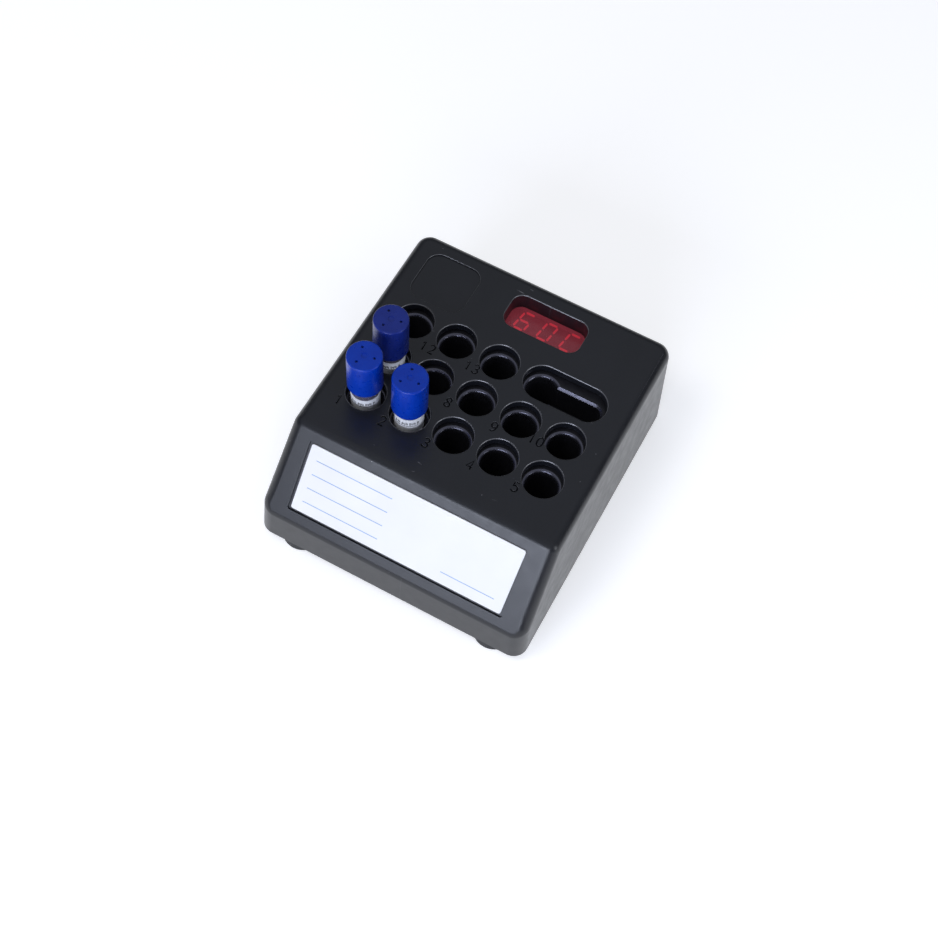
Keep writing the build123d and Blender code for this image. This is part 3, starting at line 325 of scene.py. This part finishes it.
def cap_material(name, dark, light):
    s = Shader(name, Specular_IOR_Level=0.30)
    s.colour(s.mix(s.spread(s.noise(220.0), 0, 1), dark, light))
    s.rough(s.spread(s.noise(600.0), 0.26, 0.32))
    s.bump((s.noise(260.0, 1.0), 3e-6))
    return s.material


def paper_material():
    s = Shader("paper_white")
    colour = (0.82, 0.83, 0.87)
    threads = s.noise(1400.0, 4.0, (1.0, 0.4, 1.0), 0.8)
    s.colour(s.mix(s.spread(threads, 0, 1), tint(colour, 0.965), colour))
    s.rough(s.spread(s.noise(260.0), 0.57, 0.67))
    s.bump((threads, 3e-6))
    return s.material


def label_material():
    s = Shader("printed_film")
    s.colour(s.mix(s.spread(s.noise(60.0), 0, 1), (0.775, 0.77, 0.775), (0.805, 0.80, 0.805)))
    s.rough(s.spread(s.noise(300.0), 0.36, 0.44))
    s.bump((s.noise(900.0, 2.0), 2e-6), (s.noise(45.0, 1.0), 1.2e-5))
    return s.material


def filter_material():
    """Smoked red window: what lies behind shows through it as a colour laid over it. It also glows
    faintly red though it is no lamp, which is painted light.
    """
    s = Shader("red_window", Roughness=0.22, Alpha=0.70, Emission_Strength=0.10)
    cloud = s.spread(s.noise(350.0), 0, 1)
    dust = s.specks(900.0, 0.10, 0.05, 1.7)
    base = s.mix(cloud, (0.250, 0.034, 0.050), (0.290, 0.040, 0.056))
    # Painted light: the window's own faint red glow.
    s.feed(s.bsdf.inputs["Emission Color"], s.mix(cloud, (0.80, 0.10, 0.16), (0.95, 0.12, 0.18)))
    s.colour(s.mix(s.math("MULTIPLY", dust, 0.35), base, (0.55, 0.30, 0.33)))
    s.bump((s.noise(1500.0), 1.5e-6))
    return s.material


def lit_material():
    s = Shader("segment_lit", Emission_Strength=1.0, Roughness=0.5)
    cloud = s.spread(s.noise(900.0), 0, 1)
    s.colour((0.25, 0.01, 0.015, 1))
    s.feed(s.bsdf.inputs["Emission Color"],
           s.mix(cloud, (0.80, 0.020, 0.040), (0.95, 0.030, 0.050)))
    return s.material


def tube_material():
    s = Shader("clear_tube", Transmission_Weight=0.85, IOR=1.49)
    cloud = s.spread(s.noise(300.0), 0, 1)
    s.colour(s.mix(cloud, (0.46, 0.42, 0.56), (0.60, 0.56, 0.70)))
    s.rough(s.spread(s.noise(700.0), 0.10, 0.20))
    s.bump((s.noise(1200.0), 2e-6))
    return s.material


def board_material():
    s = Shader("board_green", Coat_Weight=0.6, Coat_Roughness=0.15)
    tracks = s.node("ShaderNodeTexWave", {"Vector": s.place, "Scale": 240.0, "Distortion": 9.0,
                                          "Detail": 1.0}).outputs[1]
    mask = s.math("MULTIPLY", s.math("GREATER_THAN", tracks, 0.72),
                  s.math("GREATER_THAN", s.noise(120.0), 0.5))
    s.colour(s.mix(mask, (0.010, 0.070, 0.030), (0.030, 0.150, 0.060)))
    s.rough(s.spread(s.noise(400.0), 0.34, 0.44))
    s.bump((mask, 12e-6))
    return s.material


def foam_material():
    s = Shader("foam")
    cells = s.node("ShaderNodeTexVoronoi", {"Vector": s.place, "Scale": 1300.0}).outputs["Distance"]
    s.colour(s.mix(s.spread(cells, 0, 1, 0.1, 0.6), (0.55, 0.53, 0.48), (0.72, 0.70, 0.64)))
    s.rough(s.spread(cells, 0.80, 0.95))
    s.bump((cells, 1.5e-4))
    return s.material


def metal_material(name, colour, rough):
    s = Shader(name, Metallic=1.0)
    lines = s.noise(1500.0, 3.0, (1.0, 1.0, 8.0))
    s.colour(s.mix(s.spread(s.noise(200.0), 0, 1), tint(colour, 0.9), tint(colour, 1.06)))
    s.rough(s.spread(lines, rough - 0.06, rough + 0.08))
    s.bump((lines, 2e-6))
    return s.material


def glass_material():
    s = Shader("ampoule_glass", Transmission_Weight=0.9, IOR=1.5)
    s.colour(s.mix(s.spread(s.noise(150.0), 0, 1), (0.40, 0.16, 0.62), (0.50, 0.22, 0.70)))
    s.rough(s.spread(s.noise(300.0), 0.03, 0.07))
    return s.material


MATERIALS = {
    "dark_plastic": housing_material(),
    "base_plastic": plain_surface("base_black", (0.014, 0.014, 0.016), 0.50, depth=14e-6),
    "foot_rubber": plain_surface("foot_rubber", (0.020, 0.020, 0.022), 0.72, grain=2000.0,
                                 depth=2e-5),
    "white_label": label_material(),
    "steel": metal_material("steel", (0.62, 0.62, 0.64), 0.30),
    "anodised_aluminium": block_material(),
    "spacer_brass": metal_material("brass", (0.72, 0.52, 0.24), 0.28),
    "heater_silicone": plain_surface("silicone_orange", (0.42, 0.10, 0.03), 0.55, grain=900.0,
                                     depth=3e-5),
    "foam": foam_material(),
    "circuit_board": board_material(),
    "black_component": plain_surface("component_black", (0.012, 0.012, 0.013), 0.40, grain=3200.0),
    "capacitor_sleeve": plain_surface("sleeve_blue", (0.02, 0.03, 0.10), 0.25, grain=500.0),
    "terminal_green": plain_surface("terminal_green", (0.02, 0.22, 0.07), 0.40),
    "connector_white": plain_surface("connector_white", (0.70, 0.69, 0.64), 0.40),
    "lead_black": plain_surface("lead_black", (0.018, 0.018, 0.020), 0.42, grain=1800.0),
    "red_filter": filter_material(),
    "display_red": plain_surface("module_dark", (0.016, 0.004, 0.006), 0.35),
    "vial_tube": tube_material(),
    "vial_cap": cap_material("cap_blue", (0.0, 0.028, 0.33), (0.0, 0.036, 0.39)),
    "paper": paper_material(),
    "ampoule_glass": glass_material(),
}
DARKER_CAP = cap_material("cap_blue_dark", (0.007, 0.019, 0.178), (0.010, 0.025, 0.214))
LIT = lit_material()
INK = plain_surface("ink_black", (0.012, 0.012, 0.014), 0.55, grain=4000.0, depth=1e-6)
RULE = plain_surface("ink_blue", (0.22, 0.36, 0.62), 0.50, grain=4000.0, depth=1e-6)


def dress_frame():
    slots = {part["node"]: part["material_slot"] for part in frame["record"]["subparts"]}
    for name, node in NODES.items():
        node.data.materials.clear()
        node.data.materials.append(DARKER_CAP if name == "vial_2_cap" else MATERIALS[slots[name]])


# pieces

def add_piece(name, mesh, material, body="incubator"):
    piece = bpy.data.objects.new(name, mesh)
    bpy.context.collection.objects.link(piece)
    mesh.materials.clear()
    mesh.materials.append(material)
    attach(piece, body)
    return piece


def shade(mesh, angle=28.0):
    """Smooth shading in which flats stay flat: at each corner the faces that meet at less than
    the angle count by the whole flat area that they belong to."""
    shape = bmesh.new()
    shape.from_mesh(mesh)
    shape.faces.ensure_lookup_table()
    flat = list(range(len(shape.faces)))

    def root(i):
        while flat[i] != i:
            flat[i] = flat[flat[i]]
            i = flat[i]
        return i

    for edge in shape.edges:
        if len(edge.link_faces) == 2:
            one, other = edge.link_faces
            if one.normal.dot(other.normal) > 0.9999995:
                flat[root(one.index)] = root(other.index)
    area = [0.0] * len(shape.faces)
    for face in shape.faces:
        area[root(face.index)] += face.calc_area()
    limit = math.cos(math.radians(angle))
    normals = []
    for face in shape.faces:
        for loop in face.loops:
            total = Vector((0, 0, 0))
            for near in loop.vert.link_faces:
                if near.normal.dot(face.normal) > limit:
                    total += near.normal * area[root(near.index)]
            normals.append(total.normalized() if total.length > 0 else face.normal.copy())
    shape.free()
    mesh.shade_smooth()
    mesh.normals_split_custom_set([tuple(n) for n in normals])


STROKES = {
    "0": [[(0.5, 1), (0.12, 0.85), (0, 0.5), (0.12, 0.15), (0.5, 0), (0.88, 0.15), (1, 0.5),
           (0.88, 0.85), (0.5, 1)]],
    "1": [[(0.15, 0.75), (0.55, 1), (0.55, 0)]],
    "2": [[(0.05, 0.78), (0.2, 0.95), (0.5, 1), (0.85, 0.92), (0.95, 0.7), (0.8, 0.48), (0.05, 0),
           (1, 0)]],
    "3": [[(0.05, 0.85), (0.4, 1), (0.8, 0.95), (0.92, 0.75), (0.75, 0.56), (0.42, 0.52)],
          [(0.42, 0.52), (0.82, 0.45), (1, 0.25), (0.8, 0.04), (0.4, 0), (0.02, 0.15)]],
    "4": [[(0.75, 0), (0.75, 1), (0, 0.28), (1, 0.28)]],
    "5": [[(0.92, 1), (0.15, 1), (0.08, 0.55), (0.5, 0.64), (0.88, 0.54), (1, 0.3), (0.85, 0.08),
           (0.45, 0), (0.02, 0.12)]],
    "6": [[(0.85, 0.95), (0.5, 1), (0.15, 0.8), (0, 0.4), (0.1, 0.1), (0.5, 0), (0.9, 0.12),
           (0.98, 0.34), (0.82, 0.56), (0.45, 0.6), (0.08, 0.42)]],
    "7": [[(0, 1), (1, 1), (0.35, 0)]],
    "8": [[(0.5, 0.54), (0.12, 0.66), (0.12, 0.9), (0.5, 1), (0.88, 0.9), (0.88, 0.66), (0.5, 0.54),
           (0.06, 0.38), (0.06, 0.1), (0.5, 0), (0.94, 0.1), (0.94, 0.38), (0.5, 0.54)]],
    "9": [[(0.15, 0.05), (0.5, 0), (0.85, 0.2), (1, 0.6), (0.9, 0.9), (0.5, 1), (0.1, 0.88),
           (0.02, 0.66), (0.18, 0.44), (0.55, 0.4), (0.92, 0.58)]],
}
DIGIT_HEIGHT = 3.8 * MM
DIGIT_WIDTH = 2.1 * MM
DIGIT_STEP = 3.1 * MM
NUMBER_OFFSET = (-6.7, -7.1)       # mm, from the well's middle to the number's
OTHER_OFFSETS = {8: (-7.8, -6.4), 10: (-8.8, -4.6), 12: (-7.6, -7.4), 13: (-7.4, -6.8)}
STROKE_RADIUS = 0.33 * MM
STROKE_DEPTH = 0.8 * MM


def number_strokes():
    """The lines of the well numbers 1 to 13 on the flat top."""
    lines = []
    for number in range(1, 14):
        row, column = divmod(number - 1, 5)
        dx, dy = OTHER_OFFSETS.get(number, NUMBER_OFFSET)
        middle = Vector((COLUMNS[column] + dx * MM, ROWS[row] + dy * MM, TOP))
        text = str(number)
        for place, digit in enumerate(text):
            left = (place - (len(text) - 1) / 2) * DIGIT_STEP - DIGIT_WIDTH / 2
            for stroke in STROKES[digit]:
                lines.append([middle + Vector((left + u * DIGIT_WIDTH, (v - 0.5) * DIGIT_HEIGHT, 0))
                              for u, v in stroke])
    return lines


def stroke_tubes(lines, radius):
    """Round bars along the lines, each closed at its ends."""
    curve = bpy.data.curves.new("strokes", "CURVE")
    curve.dimensions = "3D"
    curve.bevel_depth = radius
    curve.bevel_resolution = 2
    curve.use_fill_caps = True
    for line in lines:
        spline = curve.splines.new("POLY")
        spline.points.add(len(line) - 1)
        for point, place in zip(spline.points, line):
            point.co = (*place, 1)
    carrier = bpy.data.objects.new("strokes", curve)
    bpy.context.collection.objects.link(carrier)
    mesh = bpy.data.meshes.new_from_object(carrier)
    bpy.data.objects.remove(carrier)
    return mesh


def engrave_housing():
    """The housing with its well numbers sunk in the flat top."""
    tubes = stroke_tubes(number_strokes(), STROKE_RADIUS)
    for vertex in tubes.vertices:
        vertex.co.z = TOP + (vertex.co.z - TOP) * STROKE_DEPTH / STROKE_RADIUS
    cutter = bpy.data.objects.new("cutter", tubes)
    bpy.context.collection.objects.link(cutter)
    mesh = NODES["housing"].data.copy()
    weld = bmesh.new()
    weld.from_mesh(mesh)
    bmesh.ops.remove_doubles(weld, verts=weld.verts, dist=1e-7)
    weld.to_mesh(mesh)
    weld.free()
    carrier = bpy.data.objects.new("carrier", mesh)
    bpy.context.collection.objects.link(carrier)
    cut = carrier.modifiers.new("cut", "BOOLEAN")
    cut.object = cutter
    cut.operation = "DIFFERENCE"
    cut.solver = "EXACT"
    cut.use_self = True
    evaluated = carrier.evaluated_get(bpy.context.evaluated_depsgraph_get())
    result = bpy.data.meshes.new_from_object(evaluated)
    bpy.data.objects.remove(carrier)
    bpy.data.objects.remove(cutter)
    shade(result)
    piece = add_piece("housing_engraved", result, MATERIALS["dark_plastic"])
    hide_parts("housing")


def prism(shape, outline, low, high):
    """A straight prism over an outline of (x, y) points, added to the bmesh."""
    bottom = [shape.verts.new((x, y, low)) for x, y in outline]
    top = [shape.verts.new((x, y, high)) for x, y in outline]
    shape.faces.new(bottom[::-1])
    shape.faces.new(top)
    count = len(outline)
    for i in range(count):
        j = (i + 1) % count
        shape.faces.new((bottom[i], bottom[j], top[j], top[i]))


SEGMENTS = {"6": "acdefg", "0": "abcdef", "C": "adef"}
DISPLAY_TEXT = "60C"
DIGIT_CENTRES = (-8.8, 0.4, 9.5)     # from the window's centre, at mid height
LIT_TOP, LIT_MIDDLE, LIT_BOTTOM = 5.64, 1.85, -1.95
LIT_WIDTH = 4.2
LIT_LEAN = math.tan(math.radians(10))
BAR = 0.64
BAR_GAP = 0.42


def segment_outline(a, b, half):
    """A six-sided bar between two points, pointed at both ends."""
    a, b = Vector(a), Vector(b)
    along = (b - a).normalized()
    a, b = a + along * BAR_GAP, b - along * BAR_GAP
    side = Vector((-along.y, along.x)) * half
    point = along * half
    return [a, a + point + side, b - point + side, b, b - point - side, a + point - side]


def lit_segments():
    shape = bmesh.new()
    for letter, centre in zip(DISPLAY_TEXT, DIGIT_CENTRES):
        def corner(side, height):
            lean = (height - LIT_MIDDLE) * LIT_LEAN
            return centre + side * LIT_WIDTH / 2 + lean, height
        ends = {
            "a": (corner(-1, LIT_TOP), corner(1, LIT_TOP)),
            "b": (corner(1, LIT_MIDDLE), corner(1, LIT_TOP)),
            "c": (corner(1, LIT_BOTTOM), corner(1, LIT_MIDDLE)),
            "d": (corner(-1, LIT_BOTTOM), corner(1, LIT_BOTTOM)),
            "e": (corner(-1, LIT_BOTTOM), corner(-1, LIT_MIDDLE)),
            "f": (corner(-1, LIT_MIDDLE), corner(-1, LIT_TOP)),
            "g": (corner(-1, LIT_MIDDLE), corner(1, LIT_MIDDLE)),
        }
        for segment in SEGMENTS[letter]:
            outline = segment_outline(*ends[segment], BAR / 2)
            flat = [(WINDOW.x + p.x * MM, WINDOW.y + p.y * MM) for p in outline]
            prism(shape, flat, FILTER_TOP - 0.5 * MM, FILTER_TOP - 0.05 * MM)
    bmesh.ops.recalc_face_normals(shape, faces=shape.faces)
    mesh = bpy.data.meshes.new("display_digits")
    shape.to_mesh(mesh)
    shape.free()
    piece = add_piece("display_digits", mesh, LIT)
    piece.visible_diffuse = False


LABEL_MIDDLE = 18.35 * MM          # down the slope from the ridge
LABEL_SINK = 0.2 * MM              # the label's face below the slope's
RULES = [(-37.5, -8.0, 7.6), (-37.5, -8.0, 2.2), (-37.5, -8.0, -3.2), (-37.5, -8.0, -8.6),
         (16.5, 37.0, -8.6)]       # mm: left end, right end, height on the label
RULE_HALF = 0.13
INK_HEIGHT = 0.03 * MM


def label_rules():
    """Thin write-on rules printed on the front label."""
    centre = RIDGE - UP_SLOPE * LABEL_MIDDLE - SLOPE_NORMAL * LABEL_SINK
    shape = bmesh.new()
    for left, right, height in RULES:
        low, high = (height - RULE_HALF) * MM, (height + RULE_HALF) * MM
        outline = [(left * MM, low), (right * MM, low), (right * MM, high), (left * MM, high)]
        prism(shape, outline, 0.0, INK_HEIGHT)
    bmesh.ops.recalc_face_normals(shape, faces=shape.faces)
    turn = Matrix((Vector((1, 0, 0)), UP_SLOPE, SLOPE_NORMAL)).transposed().to_4x4()
    bmesh.ops.transform(shape, matrix=Matrix.Translation(centre) @ turn, verts=shape.verts)
    mesh = bpy.data.meshes.new("label_rules")
    shape.to_mesh(mesh)
    shape.free()
    piece = add_piece("label_rules", mesh, RULE)


# column, row, direction of the lean in degrees, top of the paper label in mm
VIALS = {"vial_1": (0, 0, 216, 30.4), "vial_2": (0, 1, 131, 30.5), "vial_3": (1, 0, 144, 31.4)}
HALF_DEPTH = 11.5 * MM             # from the tube's end to the middle of its stretch in the well
PRINT_RADIUS = PAPER_RADIUS + 0.025 * MM
PRINT_DROP = 2.9                   # mm, from the paper's top to the foot of the marks
MARKS = 26
MARK_STEP = 5.0                    # degrees


def vial_frame(column, row, lean_direction):
    """The vial's own frame: origin at the tube's end, Z along its axis."""
    a = math.radians(lean_direction)
    axis = Vector((math.sin(VIAL_LEAN) * math.cos(a), math.sin(VIAL_LEAN) * math.sin(a),
                   math.cos(VIAL_LEAN)))
    side = Vector((0, 1, 0)).cross(axis).normalized()
    turn = Matrix((side, axis.cross(side), axis)).transposed().to_4x4()
    origin = Vector((COLUMNS[column], ROWS[row], WELL_MIDDLE)) - axis * HALF_DEPTH
    return Matrix.Translation(origin) @ turn


def vial_print(name, column, row, lean_direction, top):
    """Generic tick marks and a rule printed round the paper label."""
    shape = bmesh.new()

    def mark(start, end, low, high):
        steps = max(1, round((end - start) / 4))
        angles = [math.radians(start + (end - start) * i / steps) for i in range(steps + 1)]
        for inner, outer in zip(angles, angles[1:]):
            corners = [shape.verts.new((PRINT_RADIUS * math.cos(a), PRINT_RADIUS * math.sin(a),
                                        z * MM))
                       for a, z in ((inner, low), (outer, low), (outer, high), (inner, high))]
            shape.faces.new(corners)

    foot = top - PRINT_DROP
    for i in range(MARKS):
        if i % 6 == 5:
            continue
        start = -150 + i * MARK_STEP
        width, height = (2.6, 1.0) if i % 3 else (3.4, 1.25)
        mark(start, start + width, foot - (0.0 if i % 2 else 0.25), foot + height)
    mark(-160, -20, foot - 0.95, foot - 0.65)
    bmesh.ops.transform(shape, matrix=vial_frame(column, row, lean_direction), verts=shape.verts)
    mesh = bpy.data.meshes.new(name + "_print")
    shape.to_mesh(mesh)
    shape.free()
    piece = add_piece(name + "_print", mesh, INK, name)


set_camera()
make_world()
make_floor()
area_light("front_box", 4, 22, 1.0, 0.78, 0.42, 7.1, (0.78, 0.84, 1.0))
area_light("right_box", 88, 20, 1.0, 0.36, 0.34, 4.2, (0.90, 0.94, 1.0))
area_light("top_fill", -38, 64, 1.1, 0.36, 0.36, 5.5, (1.0, 0.985, 0.96), gloss=False)
dress_frame()
engrave_housing()
lit_segments()
label_rules()
for vial, (column, row, lean, top) in VIALS.items():
    vial_print(vial, column, row, lean, top)

bpy.context.scene.view_settings.view_transform = "Standard"
